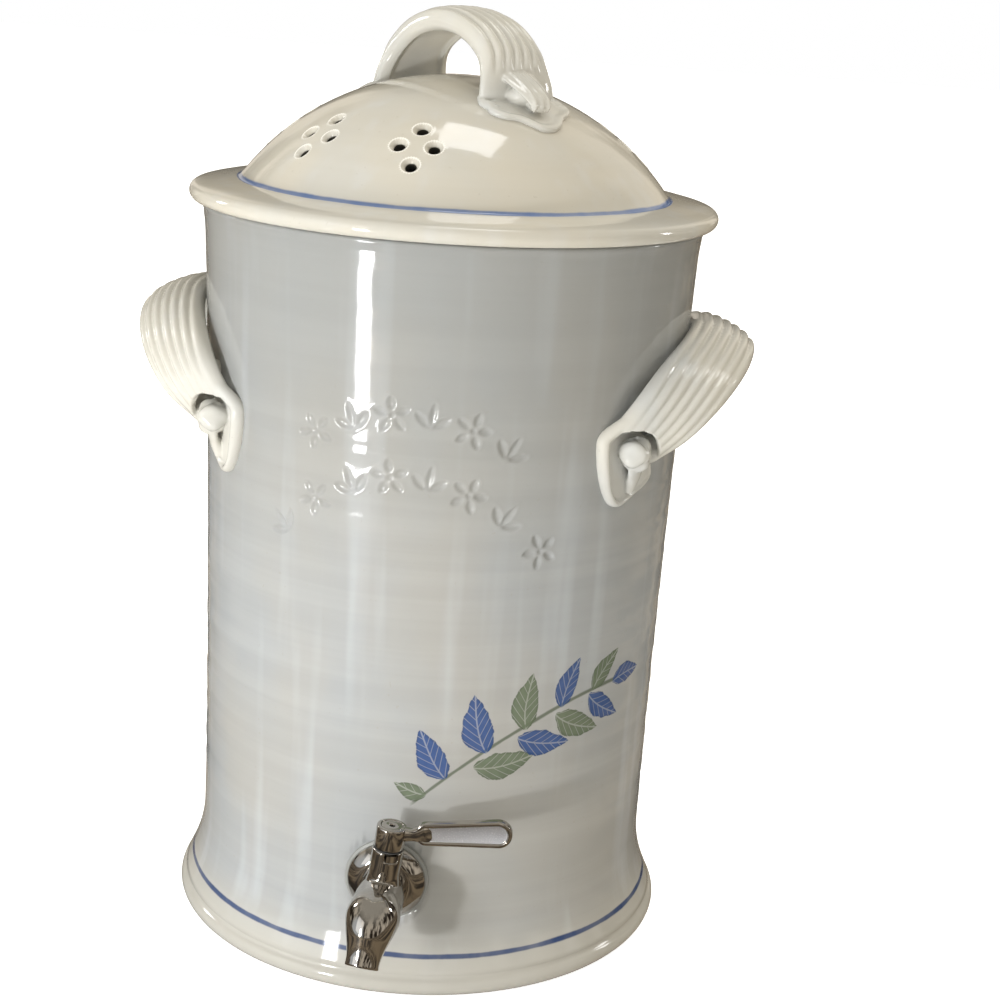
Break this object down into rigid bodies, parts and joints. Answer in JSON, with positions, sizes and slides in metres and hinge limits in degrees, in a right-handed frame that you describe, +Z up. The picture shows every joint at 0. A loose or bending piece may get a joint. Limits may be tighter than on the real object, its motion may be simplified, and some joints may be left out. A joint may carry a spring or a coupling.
{
  "type": "kombucha crock",
  "caption": "Tall glazed stoneware crock with a domed vented lid, ribbed strap handles and a quarter-turn lever tap near its foot.",
  "frame": {"origin": "middle of the flat base, on the surface that the crock stands on", "axes": "+Z up along the crock's axis, -Y out through the tap, +X to the right of a person facing the tap"},
  "size_m": [0.2892, 0.2859, 0.436],
  "materials": {
    "glaze": "glossy off-white glaze over stoneware",
    "warm_glaze": "glossy warm white glaze over stoneware",
    "steel": "polished stainless steel",
    "silicone": "translucent grey silicone",
    "ptfe": "smooth white PTFE",
    "o_ring": "black nitrile"
  },
  "bodies": {
    "crock": {"crock_body": "glaze", "left_handle": "warm_glaze", "right_handle": "warm_glaze", "left_handle_ends": "glaze", "right_handle_ends": "glaze", "left_handle_curls": "glaze", "right_handle_curls": "glaze", "tap_shank": "steel", "tap_body": "steel", "spout": "steel", "outer_seal": "silicone", "inner_seal": "silicone", "backing_washer": "steel", "lock_nut": "steel", "thrust_washer": "ptfe", "stop_key": "steel"},
    "lid_assembly": {"lid": "warm_glaze", "lid_handle": "warm_glaze", "lid_handle_ends": "warm_glaze", "lid_handle_curls": "warm_glaze"},
    "tap_lever": {"lever": "steel", "lever_screw": "steel", "valve_plug": "steel", "plug_o_rings": "o_ring"}
  },
  "joints": [
    {"name": "lid_lift", "type": "slide", "parent": "crock", "child": "lid_assembly", "axis": [0, 0, 1], "range_m": [0, 0.12]},
    {"name": "lever_turn", "type": "hinge", "parent": "crock", "child": "tap_lever", "pos_m": [0, -0.12721, 0.053], "axis": [-0.1132, 0, -0.9936], "range_deg": [0, 90]}
  ]
}
